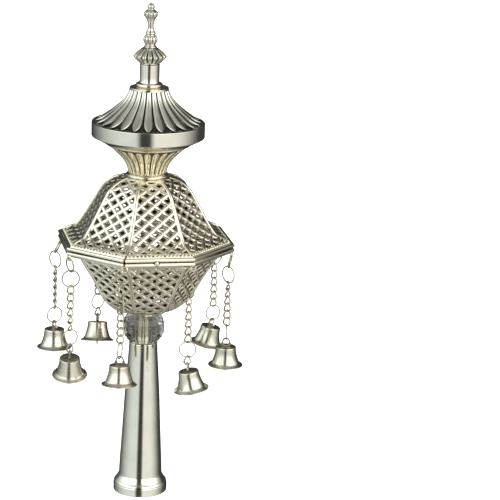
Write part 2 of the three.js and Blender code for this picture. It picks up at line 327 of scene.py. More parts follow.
class NodeSheet:
    """A node tree, with short ways to add to it."""

    def __init__(self, tree: bpy.types.NodeTree) -> None:
        """Takes up a tree."""
        self.tree = tree

    def add(self, kind: str, **settings: object) -> bpy.types.Node:
        """Adds a node.

        Args:
            kind: the node's type name.
            settings: its properties, or where there is none of that name, its inputs with _ for a space.

        Returns:
            The node.
        """
        node = self.tree.nodes.new(kind)
        for key, value in settings.items():
            if hasattr(node, key):
                setattr(node, key, value)
            else:
                node.inputs[key.replace("_", " ")].default_value = value
        return node

    def join(self, source: bpy.types.NodeSocket, target: bpy.types.NodeSocket) -> None:
        """Links an output to an input."""
        self.tree.links.new(source, target)

    def maths(self, operation: str, *values: object) -> bpy.types.NodeSocket:
        """A maths node.

        Args:
            operation: what it works out.
            values: numbers or outputs of other nodes, in order.

        Returns:
            Its output.
        """
        node = self.add("ShaderNodeMath", operation=operation)
        for socket, value in zip(node.inputs, values):
            if isinstance(value, (int, float)):
                socket.default_value = value
            else:
                self.join(value, socket)
        return node.outputs[0]

    def between(
        self, value: bpy.types.NodeSocket, low: float, high: float, start: float = 0, end: float = 1
    ) -> bpy.types.NodeSocket:
        """Maps a value from low..high to start..end, held at the ends and smooth between."""
        node = self.add("ShaderNodeMapRange", interpolation_type="SMOOTHSTEP")
        self.join(value, node.inputs["Value"])
        for key, number in (("From Min", low), ("From Max", high), ("To Min", start), ("To Max", end)):
            node.inputs[key].default_value = number
        return node.outputs["Result"]

    def blend(self, share: bpy.types.NodeSocket, first: object, second: object) -> bpy.types.NodeSocket:
        """Mixes two colours, each a tuple or an output."""
        node = self.add("ShaderNodeMix", data_type="RGBA")
        self.join(share, node.inputs["Factor"])
        for socket, value in ((node.inputs[6], first), (node.inputs[7], second)):
            if isinstance(value, tuple):
                socket.default_value = (*value, 1.0)
            else:
                self.join(value, socket)
        return node.outputs[2]

    def noise(self, scale: tuple[float, float, float], detail: float = 3.0) -> bpy.types.NodeSocket:
        """Noise over the piece's own coordinates.

        Args:
            scale: how many grains there are to a metre, along X, Y and Z.
            detail: how many finer layers are added.

        Returns:
            The noise, around a half.
        """
        place = self.add("ShaderNodeTexCoord")
        stretch = self.add("ShaderNodeMapping")
        stretch.inputs["Scale"].default_value = scale
        self.join(place.outputs["Object"], stretch.inputs["Vector"])
        grain = self.add("ShaderNodeTexNoise", Scale=1.0, Detail=detail)
        self.join(stretch.outputs[0], grain.inputs["Vector"])
        return grain.outputs["Fac"]

    def bearings(self, coordinates: str) -> list[bpy.types.NodeSocket]:
        """How far a place or direction lies sideways of the front, toward the front and upward.

        Args:
            coordinates: which coordinates are measured.

        Returns:
            The three outputs.
        """
        place = self.add("ShaderNodeTexCoord")
        ways = ((math.cos(FACING), math.sin(FACING), 0), (math.sin(FACING), -math.cos(FACING), 0), (0, 0, 1))
        outputs = []
        for way in ways:
            node = self.add("ShaderNodeVectorMath", operation="DOT_PRODUCT")
            node.inputs[1].default_value = way
            self.join(place.outputs[coordinates], node.inputs[0])
            outputs.append(node.outputs["Value"])
        return outputs


class ShaderSheet(NodeSheet):
    """A material's node tree, which holds one Principled shader."""

    def __init__(self, name: str) -> None:
        """Starts a material of this name."""
        self.material = bpy.data.materials.new(name)
        self.material.use_nodes = True
        super().__init__(self.material.node_tree)
        self.shader = self.tree.nodes["Principled BSDF"]

    def set(self, socket: str, value: object) -> None:
        """Sets one of the shader's inputs, or links an output to it."""
        target = self.shader.inputs[socket]
        if isinstance(value, bpy.types.NodeSocket):
            self.join(value, target)
        else:
            target.default_value = value


@dataclass(frozen=True)
class Drip:
    """A run of old polish that dried on the stem: where it stands sideways and how far down it runs, mm."""

    aside: float
    length: float
    width: float = 1.1


@dataclass(frozen=True)
class Silver:
    """A silver-coloured finish: its tint where it is bright and where it is dull, its painted shade
    colour for the hollows, how rough it is, how strongly it is brushed round the axis and how uneven its skin
    is."""

    name: str
    bright: tuple[float, float, float]
    dull: tuple[float, float, float]
    deep: tuple[float, float, float]
    roughness: float
    brushed: float = 0.0
    uneven: float = 0.1
    drips: tuple[Drip, ...] = ()
    drip_top: float = 107.0

    def stain(self, sheet: NodeSheet) -> bpy.types.NodeSocket:
        """How much each place is stained, the largest of the drips' shares: each is 1 within half its
        width of its line on the front, and between its end and the stem's top.

        Args:
            sheet: the material's nodes.

        Returns:
            The stain's share.
        """
        aside, toward, up = sheet.bearings("Object")
        front = sheet.between(toward, 0, 0.002)
        wave = sheet.maths("MULTIPLY", sheet.maths("SUBTRACT", sheet.noise((300, 300, 120)), 0.5), 0.0016)
        share = None
        for drip in self.drips:
            off = sheet.maths("ADD", sheet.maths("SUBTRACT", aside, drip.aside * MM), wave)
            width = drip.width * MM
            near = sheet.between(sheet.maths("ABSOLUTE", off), 0.25 * width, 0.75 * width, 1, 0)
            end = (self.drip_top - drip.length) * MM
            low = sheet.between(up, end - 0.8 * MM, end + 1.2 * MM)
            one = sheet.maths("MULTIPLY", sheet.maths("MULTIPLY", near, low), front)
            share = one if share is None else sheet.maths("MAXIMUM", share, one)
        return share

    def material(self) -> Material:
        """Builds the material: cloudy tarnish, fine brushing round the axis, painted shade in the hollows,
        and an uneven skin.

        Returns:
            The material.
        """
        sheet = ShaderSheet(self.name)
        sheet.set("Metallic", 1.0)
        sheet.set("Anisotropic", self.brushed)
        sheet.set("Anisotropic Rotation", 0.25)
        if self.brushed > 0:
            around = sheet.add("ShaderNodeTangent", direction_type="UV_MAP", uv_map="around")
            sheet.set("Tangent", around.outputs[0])
        brushing = sheet.noise((60, 60, 5200), 2.0)
        cloud = sheet.noise((70, 70, 70), 4.0)
        depth = sheet.add("ShaderNodeAttribute", attribute_name="hollow").outputs["Fac"]
        tint = sheet.blend(sheet.between(cloud, 0.38, 0.66), self.bright, self.dull)
        # Painted shade: the hollow share darkens the tint toward the deep colour.
        tint = sheet.blend(depth, tint, self.deep)
        if self.drips:
            tint = sheet.blend(self.stain(sheet), tint, (0.36, 0.29, 0.15))
        sheet.set("Base Color", tint)
        rough = sheet.between(brushing, 0.25, 0.75, self.roughness - 0.04, self.roughness + 0.04)
        rough = sheet.maths("ADD", rough, sheet.maths("MULTIPLY", depth, 0.22))
        sheet.set("Roughness", rough)
        fine = sheet.maths("MULTIPLY", brushing, 0.1 if self.brushed > 0 else 0.03)
        skin = sheet.maths("MULTIPLY", sheet.noise((900, 900, 900), 2.0), self.uneven)
        grain = sheet.maths("ADD", fine, skin)
        bump = sheet.add("ShaderNodeBump", Strength=0.5, Distance=0.00006)
        sheet.join(grain, bump.inputs["Height"])
        sheet.set("Normal", bump.outputs[0])
        return sheet.material


@dataclass(frozen=True)
class Crystal:
    """Clear cut crystal."""

    name: str = "cut_crystal"
    tint: tuple[float, float, float] = (0.98, 0.995, 1.0)
    index: float = 1.54

    def material(self) -> Material:
        """Builds the material: clear glass, with faint cloudiness from handling on its skin.

        Returns:
            The material.
        """
        sheet = ShaderSheet(self.name)
        sheet.set("Transmission Weight", 1.0)
        sheet.set("IOR", self.index)
        cloud = sheet.noise((160, 160, 160), 3.0)
        tint = sheet.blend(sheet.between(cloud, 0.35, 0.7), self.tint, tuple(0.96 * c for c in self.tint))
        sheet.set("Base Color", tint)
        sheet.set("Roughness", sheet.between(cloud, 0.3, 0.75, 0.0, 0.05))
        return sheet.material


@dataclass
class Finishes:
    """Every finish of the finial, made once."""

    plate: Material = field(init=False)
    stem: Material = field(init=False)
    band: Material = field(init=False)
    bell: Material = field(init=False)
    cast: Material = field(init=False)
    knob: Material = field(init=False)
    warm: Material = field(init=False)
    wire: Material = field(init=False)
    joint_shade: Material = field(init=False)
    crystal: Material = field(init=False)

    def __post_init__(self) -> None:
        """Builds the materials."""
        drips = (Drip(-4.9, 9.0), Drip(-0.7, 3.5), Drip(2.8, 11.0), Drip(6.3, 2.8))
        clean = ((0.86, 0.86, 0.78), (0.79, 0.80, 0.72))
        # Painted shade: the lone colours here and the third colour of each set of three are what the hollows
        # are darkened to.
        plate_shade = (0.42, 0.37, 0.26)
        band_shade = (0.07, 0.065, 0.05)
        bell_tones = ((0.74, 0.72, 0.62), (0.60, 0.58, 0.48), (0.20, 0.16, 0.10))
        cream = ((0.95, 0.92, 0.80), (0.86, 0.82, 0.67), (0.16, 0.11, 0.055))
        golden = ((0.93, 0.88, 0.73), (0.84, 0.78, 0.60), (0.13, 0.1, 0.05))
        pewter = ((0.82, 0.80, 0.70), (0.66, 0.64, 0.55), (0.08, 0.065, 0.045))
        drawn = ((0.56, 0.53, 0.42), (0.44, 0.41, 0.31), (0.24, 0.2, 0.12))
        # The brown set is painted shade for the thin lines at the calyx's and the neck's joints.
        brown = ((0.62, 0.46, 0.22), (0.5, 0.36, 0.17), (0.3, 0.2, 0.1))
        self.plate = Silver("turned_plate", *clean, plate_shade, 0.15, 0.5).material()
        self.stem = Silver("stem_plate", *clean, plate_shade, 0.12, 0.8, drips=drips).material()
        self.band = Silver("band_plate", *clean, band_shade, 0.12, 0.55).material()
        self.bell = Silver("bell_plate", *bell_tones, 0.24, 0.4).material()
        self.cast = Silver("cast_plate", *cream, 0.12).material()
        self.warm = Silver("warm_plate", *golden, 0.13).material()
        self.knob = Silver("knob_plate", *pewter, 0.1).material()
        self.wire = Silver("wire_plate", *drawn, 0.2).material()
        self.joint_shade = Silver("joint_shade_ring", *brown, 0.35).material()
        self.crystal = Crystal().material()


# ---------------------------------------------------------------- turned parts


@dataclass
class Stem:
    """The tapered tube with its rolled foot, open below."""

    top: float = 107.1
    foot_radius: float = 18.4

    def side(self) -> Points:
        """The outside, from the foot's underside up to the top's edge."""
        r = self.foot_radius
        foot = np.vstack([arc(r - 0.55, 0.55, 0.55, -90, 0, 5), arc(r - 0.3, 5.2, 0.3, 0, 40, 3)])
        roll = rounded([(r - 0.12, 5.6), (r - 0.45, 6.9), (r - 1.6, 8.4), (r - 2.7, 10.2), (15.0, 11.6)], 5)
        tube = rounded([(14.75, 12.6), (14.4, 22), (13.1, 46), (11.9, 70), (10.1, 97), (9.75, 104)], 8)
        return np.vstack([foot, roll, tube, arc(9.2, 106.6, 0.5, 0, 90, 4)])

    def build(self, finishes: Finishes) -> None:
        """Makes the stem."""
        bore = rounded([(14.0, 0), (13.9, 12), (12.3, 46), (11.1, 70), (9.3, 97), (8, self.top - 1.4)], 5)
        outline = np.vstack([[(0, self.top - 1.4)], bore[::-1], self.side(), [(0, self.top)]])
        turned(outline, 128).piece("stem", Slot.BRUSHED, finishes.stem, ["stem"], 50)


@dataclass
class CrystalBead:
    """The cut bead and the rod that it is threaded on."""

    bottom: float = 107.4
    top: float = 126.9
    radius: float = 13.9
    facets: int = 16
    rod_radius: float = 3.5
    rod_top: float = 221.3
    bedding: float = 0.1
    thread: float = 0.22

    def build(self, finishes: Finishes) -> None:
        """Makes the bead, of flat facets that close on the rod, and the rod, whose radius over the bead rises
        and falls once a millimetre like a screw's."""
        inner = self.rod_radius - self.bedding
        r = self.radius
        low = [(9.6, self.bottom), (12.4, 110.3), (r, 113.6)]
        side = np.array([*low, (r, 121.6), (12.5, 124.9), (9.9, self.top)])
        outline = np.vstack([side, [(inner, self.top), (inner, self.bottom)]])
        bead = turned(outline, self.facets, start=FACING)
        bead.piece("crystal_bead", Slot.CRYSTAL, finishes.crystal, ["crystal_bead"], 5)
        z = np.linspace(self.bottom, self.rod_top, 460)
        wave = self.thread * (1 - np.cos(2 * np.pi * (z - self.top)))
        r = self.rod_radius - np.where(z > self.top, wave, 0.0)
        rod = np.vstack([[(0, self.bottom)], np.stack([r, z], axis=1), [(0, self.rod_top)]])
        turned(rod, 32).piece("central_rod", Slot.WIRE, finishes.wire, ["central_rod"], 60)


@dataclass
class Collars:
    """The two round collars that close the lantern, with the painted shade line under the calyx."""

    bowl_bottom: float = 127.2
    dome_bottom: float = 222.9

    def build(self, finishes: Finishes) -> None:
        """Makes the collars and the painted shade line."""
        z = self.bowl_bottom
        edge = arc(10.2, z + 0.9, 0.85, -70, 70)
        low = np.vstack([[(3.8, z), (9.9, z)], edge, [(9.9, z + 1.8), (3.8, z + 1.8)]])
        turned(low, 64).piece("bowl_collar", Slot.CAST, finishes.cast, ["bowl_collar"])
        z = self.dome_bottom
        edge = arc(13.5, z + 1.0, 0.95, -70, 60)
        high = np.vstack([[(0, z), (13.6, z)], edge, [(13.0, z + 2.2), (0, z + 2.3)]])
        turned(high, 96).piece("dome_collar", Slot.BRUSHED, finishes.plate, ["dome_collar"])
        # A thin brown ring of painted shade along the joint under the calyx.
        line = arc(12.75, z + 2.45, 0.32, 0, 330, 8)
        turned(line, 96).piece("calyx_joint", Slot.CAST, finishes.joint_shade, [])


# ---------------------------------------------------------------- fluted parts


@dataclass
class Fluting:
    """Round-backed lobes side by side round a turned part, with narrow grooves between them.

    Across a lobe its height over the groove's floor is depth * sqrt(1 - (u / width)^2), u running from
    -1 to 1 from groove to groove. Its width is full along its length and closes like a half round at the
    end where the lobes stop.
    """

    depth: float
    growth: float
    stop: float
    end: float
    rest: float
    upward: bool
    count: int = FLUTES

    def press(self, r: Points, z: Points, angle: Points) -> tuple[Points, Points]:
        """How far each point moves inward from the lobes' backs, and how deep in a groove it lies.

        Args:
            r: radius.
            z: height.
            angle: angle round the axis.

        Returns:
            The outward move, which is negative, and the hollow.
        """
        u = ((angle - FACING) * self.count / (2 * np.pi) + 0.5) % 1.0 * 2 - 1
        reach = (z - self.stop) / self.end if not self.upward else (self.stop - z) / self.end
        width = 0.93 * np.sqrt(np.clip(1 - (1 - np.clip(reach, 0, 1)) ** 2, 0, 1))
        back = np.sqrt(np.clip(1 - (u / np.maximum(width, 1e-3)) ** 2, 0, 1))
        depth = self.depth + self.growth * r
        live = (z < self.rest) if not self.upward else (z > self.rest)
        out = -depth * (1 - back)
        # Painted shade: the hollow share darkens the grooves between the lobes.
        return np.where(live & (r > 1), out, 0.0), np.where(live, softly(1 - back, 0.22, 0.75), 0.0)


@dataclass
class Calyx:
    """The fluted cup that opens upward into the roof."""

    bottom: float = 225.5
    top: float = 245.6
    wall: float = 1.2

    def side(self) -> Points:
        """The lobes' backs, from the foot up to the rim."""
        foot = [(12.7, self.bottom), (13.7, 229), (15.2, 232)]
        return rounded([*foot, (17.1, 235), (19.9, 238), (23.1, 241), (26.4, 243.9)], 8)

    def build(self, finishes: Finishes) -> None:
        """Makes the calyx: lobes that end in small rounds under a plain curved rim."""
        side = self.side()
        rim = rounded([(26.6, 244.0), (27.6, 244.4), (28.4, 244.9), (28.7, 245.6)], 3)
        outer = np.vstack([side, rim])
        floor = self.bottom + 1.6
        inner = np.vstack([inset(outer, self.wall + 1.4)[::-1][2:-2], [(9.9, floor), (0, floor)]])
        lobes = Fluting(0.95, 0.03, self.top - 2.4, 3.2, self.bottom + 0.5, True)
        count = len(outer)
        outline = np.vstack([[(0, self.bottom)], outer, inner])

        def press(r: Points, z: Points, angle: Points) -> tuple[Points, Points]:
            """Presses only the outside's rows."""
            out, hollow = lobes.press(r, z, angle)
            rows = np.arange(len(r))[:, None]
            outside = (rows > 0) & (rows <= count)
            under_rim = outside & (z > lobes.stop)
            out = np.where(outside, out, 0.0)
            out = np.where(under_rim, -0.9 * (1 - softly(z, self.top - 2.2, self.top - 0.9)), out)
            # Painted shade in a band under the rim, and over the whole inside.
            deep = np.where(under_rim, 0.8 * (1 - softly(z, self.top - 2.0, self.top - 1.2)), hollow)
            return out, np.where(outside, deep, 0.6)

        turned(outline, FLUTES * 18, press).piece("calyx", Slot.CAST, finishes.warm, ["calyx"], 60)


@dataclass
class Roof:
    """The hollow fluted roof over its plain band, open below."""

    bottom: float = 245.9
    band_bottom: float = 250.5
    band_top: float = 259.4
    band_radius: float = 37.7
    top: float = 283.0
    ledge: float = 2.3

    def slope(self) -> Points:
        """The lobes' backs, from their rounded ends up to the top."""
        eaves = [(35.9, 259.6), (33.4, 261), (29, 264)]
        return rounded(
            [*eaves, (24.9, 267), (21.3, 270), (18.1, 273), (15.7, 276), (14.1, 279), (13.0, 282.0)], 9
        )

    def build(self, finishes: Finishes) -> None:
        """Makes the band and the fluted slope as one skin of one piece."""
        r, low, high = self.band_radius, self.band_bottom, self.band_top
        slope = self.slope()
        edge = arc(r - 0.35, high - 0.35, 0.35, 0, 90, 4)
        lip = np.vstack([edge, [(r - 1.0, high), (r - self.ledge, high - 0.5)]])
        under = arc(r - 0.5, low, 0.5, -60, 0, 4)
        band = np.vstack([[(29.6, self.bottom), (r - 0.9, low - 0.7)], under, lip])
        crown = np.vstack([arc(12.7, 282.6, 0.4, 0, 90, 3), [(0, self.top)]])
        count = len(slope)
        lobes = Fluting(0.4, 0.085, high + 0.3, 5.5, self.top - 1.4, False)
        inside = [(0, self.top - 2), (10.6, self.top - 2), (13.0, 274.5), (20.5, 266.5), (31.0, 259.0)]
        inside += [(r - 1.2, 256.6), (r - 1.2, low + 0.6), (27.6, self.bottom)]

        def press(radius: Points, z: Points, angle: Points) -> tuple[Points, Points]:
            """Presses only the slope's rows, and paints shade on the ledge and the hidden inside."""
            out, hollow = lobes.press(radius, z, angle)
            rows = np.arange(len(radius))[:, None]
            sloping = (rows >= len(band)) & (rows < len(band) + count)
            shelf = (rows >= len(band) - 2) & (rows < len(band))
            within = rows >= len(band) + count + len(crown)
            plain = np.where(shelf, 0.5, np.where(within, 0.7, 0.0))
            return np.where(sloping, out, 0.0), np.where(sloping, hollow, plain)

        outline = np.vstack([band, slope, crown, inside])
        turned(outline, FLUTES * 20, press).piece("roof", Slot.BRUSHED, finishes.band, ["roof"], 45)


@dataclass
class Neck:
    """The plain tube over the roof with its ring, and the painted shade line at its foot."""

    bottom: float = 283.3
    top: float = 298.3
    radius: float = 6.6

    def build(self, finishes: Finishes) -> None:
        """Makes the tube and the line."""
        z, r = self.bottom, self.radius
        ring = np.vstack([[(0, z), (8.4, z)], arc(7.9, z + 1.35, 1.15, -60, 75)])
        step = rounded([(7.5, z + 2.65), (6.9, z + 2.9), (r, z + 3.5)], 4)
        end = [(r, self.top - 0.2), (r - 0.2, self.top), (0, self.top)]
        tube = np.vstack([ring, step, [(r, z + 9), *end]])
        turned(tube, 96).piece("neck_tube", Slot.BRUSHED, finishes.plate, ["neck_tube"])
        # A thin brown ring of painted shade along the joint at the neck's foot.
        line = arc(8.75, z - 0.05, 0.3, 0, 330, 8)
        turned(line, 96).piece("neck_joint", Slot.BRUSHED, finishes.joint_shade, [])


@dataclass
class RibbedBead:
    """The bead over the neck, of round-backed ribs with deep grooves between them."""

    bottom: float = 298.6
    top: float = 309.2
    radius: float = 11.0
    ribs: int = 16

    def build(self, finishes: Finishes) -> None:
        """Makes the bead: widest at an edge in the middle, its radius falling by up to a quarter in each
        groove."""
        middle, half = (self.bottom + self.top) / 2, (self.top - self.bottom) / 2
        low = [(6.4, self.bottom), (8.0, 299.9), (10.1, 301.9), (self.radius, 303.5)]
        high = [(10.7, 304.5), (8.7, 306.4), (5.9, 308.5), (4.9, self.top)]
        side = rounded([*low, *high], 6)

        def press(r: Points, z: Points, angle: Points) -> tuple[Points, Points]:
            """Presses the grooves, which fade out toward both ends."""
            u = ((angle - FACING) * self.ribs / (2 * np.pi) + 0.5) % 1.0 * 2 - 1
            back = np.sqrt(np.clip(1 - np.abs(u) ** 2.4, 0, 1))
            share = softly(half - np.abs(z - middle), 0.3, 2.2)
            # Painted shade: the hollow share darkens the grooves.
            return -0.24 * r * (1 - back) * share, softly(1 - back, 0.1, 0.6) * share

        outline = np.vstack([[(0, self.bottom)], side, [(0, self.top)]])
        bead = turned(outline, self.ribs * 16, press)
        bead.piece("ribbed_bead", Slot.CAST, finishes.knob, ["ribbed_bead"], 60)


@dataclass
class Spire:
    """The turned spire: a foot, a knop, a waist, a lobed disc and a pointed tip."""

    bottom: float = 309.5
    tip: float = 338.6
    ribs: int = 10

    def build(self, finishes: Finishes) -> None:
        """Makes the spire."""
        foot = rounded([(4.3, 309.5), (4.2, 310.1), (3.4, 310.9), (3.7, 311.7)], 4)
        knop = rounded([(4.3, 312.6), (4.9, 314.0), (4.75, 315.4), (4.1, 316.6), (3.3, 317.4)], 5)
        ridge = [(3.2, 318.0), (3.5, 318.7), (3.1, 319.5)]
        waist = rounded([*ridge, (2.3, 320.8), (1.95, 323.4), (2.3, 326.2), (3.1, 328.2)], 5)
        disc = rounded([(3.7, 329.2), (4.75, 330.2), (4.95, 331.3), (4.7, 332.4), (3.6, 333.5)], 5)
        nib = [(2.7, 334.1), (2.2, 334.8), (2.5, 335.7)]
        point = rounded([*nib, (2.3, 336.8), (1.5, 337.9), (0.7, 338.4)], 5)
        outline = np.vstack([[(0, self.bottom)], foot, knop, waist, disc, point, [(0, self.tip)]])

        def press(r: Points, z: Points, angle: Points) -> tuple[Points, Points]:
            """Presses grooves into the knop and the disc."""
            u = ((angle - FACING) * self.ribs / (2 * np.pi) + 0.5) % 1.0 * 2 - 1
            groove = 1 - np.sqrt(np.clip(1 - np.abs(u) ** 2.4, 0, 1))
            knop_share = softly(z, 311.6, 313.2) * (1 - softly(z, 316.2, 317.6))
            disc_share = softly(z, 328.6, 330.2) * (1 - softly(z, 332.2, 333.6))
            share = groove * (knop_share + disc_share)
            # Painted shade in the grooves of the knop and the disc.
            return -0.18 * r * share, softly(share, 0.1, 0.7)

        turned(outline, self.ribs * 12, press).piece("spire", Slot.CAST, finishes.knob, ["spire"], 40)


# ---------------------------------------------------------------- the lantern


def eight_sided(outline: Points, notch: float = 0.0) -> Skin:
    """A closed outline carried round an eight-sided ring. A place on the ring is a unit corner, or a
    place between two corners, times the outline's radius, which is measured to the corners.

    Args:
        outline: points as rows.
        notch: how far the skin is pressed in on a narrow stretch at the front left corner, in mm.

    Returns:
        The skin, with crisp corners.
    """
    corner = (np.arange(SIDES) + 0.5) * CORNER_STEP
    ring = np.stack([np.sin(corner), -np.cos(corner)], axis=1)
    pressed = np.zeros(SIDES)
    if notch > 0:
        at = SIDES - 1
        here, before, after = ring[at], ring[at - 1], ring[0]
        steps = [here + (before - here) * share for share in (0.016, 0.010)]
        steps += [here + (after - here) * share for share in (0.010, 0.016)]
        ring = np.vstack([ring[:at], steps])
        pressed = np.concatenate([np.zeros(at), [0, notch, notch, 0]])
    r = outline[:, None, 0] - pressed[None, :]
    flat = r[..., None] * ring[None]
    z = np.repeat(outline[:, None, 1:], len(ring), axis=1)
    # Painted shade: the pressed-in stretch is darkened fully.
    depth = np.broadcast_to(np.where(pressed > 0, 1.0, 0.0), r.shape)
    return Skin.grid(np.concatenate([flat, z], axis=-1), True, True, depth)


@dataclass
class Panel:
    """One flat-sided, curved panel of the lantern, as an outline at its corners that runs upward.

    A place on it is x, sideways from its middle, and s, the way up along the middle.
    """

    corners: Points
    across: float = 9.12
    along: float = 7.57
    first: float = 1.4
    half_width: float = 1.62
    proud: float = 0.95
    sunk: float = 0.75
    rib: float = 1.45

    def __post_init__(self) -> None:
        """Works out the middle's outline, its length so far and its outward direction."""
        self.out = self.corners[:, 0] * math.cos(CORNER_STEP / 2)
        self.height = self.corners[:, 1]
        self.way = np.concatenate([[0], np.cumsum(np.hypot(np.diff(self.out), np.diff(self.height)))])
        self.lean_out = np.gradient(self.height, self.way)
        self.lean_up = -np.gradient(self.out, self.way)

    def place(self, x: Points, s: Points) -> tuple[Points, Points]:
        """The point and the outward direction at x and s on the panel that faces -Y.

        Args:
            x: sideways places.
            s: ways up.

        Returns:
            Points and directions.
        """
        out, height = np.interp(s, self.way, self.out), np.interp(s, self.way, self.height)
        lean_out, lean_up = np.interp(s, self.way, self.lean_out), np.interp(s, self.way, self.lean_up)
        normal = np.stack([0 * out, -lean_out, lean_up], axis=-1)
        return np.stack([x, -out, height], axis=-1), normal / np.linalg.norm(normal, axis=-1, keepdims=True)

    def bars(self) -> list[Skin]:
        """The slanting bars: straight lines in x and s, x / across +- s / along = whole number + 1/2, cut
        off under the ribs. Each is round-backed, and dips where another crosses it.

        Returns:
            One skin for each bar.
        """
        fine = np.linspace(0, self.way[-1], 400)
        room = np.interp(fine, self.way, self.out) * math.tan(CORNER_STEP / 2) - 0.3
        w, h, d = self.half_width, self.proud, self.sunk
        half = np.array([(-0.86 * w, -d), (-w, 0), (-0.7 * w, 0.62 * h), (-0.27 * w, 0.95 * h)])
        section = np.vstack([half, half[::-1] * (-1, 1)])
        # Painted shade: the bars' flanks and undersides are darkened by their place in the section.
        depth = np.array([1.0, 0.75, 0.22, 0, 0, 0.22, 0.75, 1.0])
        most = int(2 * (room.max() / self.across + self.way[-1] / self.along)) + 2
        skins = []
        for slant in (-1, 1):
            for number in range(-most, most):
                x = self.across * (number + 0.5 + slant * (fine - self.first) / self.along)
                kept = fine[np.abs(x) < room]
                if len(kept) < 8:
                    continue
                s = np.linspace(kept[0], kept[-1], max(5, int((kept[-1] - kept[0]) / 0.95)))
                x = self.across * (number + 0.5 + slant * (s - self.first) / self.along)
                points, normals = self.place(x, s)
                beat = 2 * np.pi * (s - self.first) / self.along
                dip = 1 - 0.5 * (0.5 + 0.5 * np.cos(2 * beat + np.pi)) ** 3
                shape = np.repeat(section[None], len(s), axis=0)
                shape[:, :, 1] = np.where(shape[:, :, 1] > 0, shape[:, :, 1] * dip[:, None], shape[:, :, 1])
                skins.append(swept(points, normals, shape, False, depth))
        return skins

    def ribs(self) -> Skin:
        """The smooth strip that covers the joint between this panel and the next."""
        half = CORNER_STEP / 2
        r, z = self.corners[:, 0], self.corners[:, 1]
        path = np.stack([r * math.sin(half), -r * math.cos(half), z], axis=1)
        run = np.gradient(self.corners, axis=0)
        run = run / np.linalg.norm(run, axis=1, keepdims=True)
        normal = np.stack([run[:, 1] * math.sin(half), -run[:, 1] * math.cos(half), -run[:, 0]], axis=1)
        angle = np.radians(np.linspace(0, 180, 7))
        back = np.stack([self.rib * np.cos(angle), 0.35 + 0.85 * np.sin(angle)], axis=1)
        section = np.vstack([back, [(-0.8 * self.rib, -self.sunk), (0.8 * self.rib, -self.sunk)]])
        # Painted shade on the rib's edges and underside.
        return swept(path, normal, section, False, np.array([0.25, 0, 0, 0, 0, 0, 0.25, 1, 1]))

    def all_round(self) -> Skin:
        """The panel and its rib, eight times round the axis."""
        one = Skin.joined([*self.bars(), self.ribs()])
        nowhere = np.zeros(3)
        return Skin.joined([one.moved(turn_z(k * CORNER_STEP), nowhere) for k in range(SIDES)])


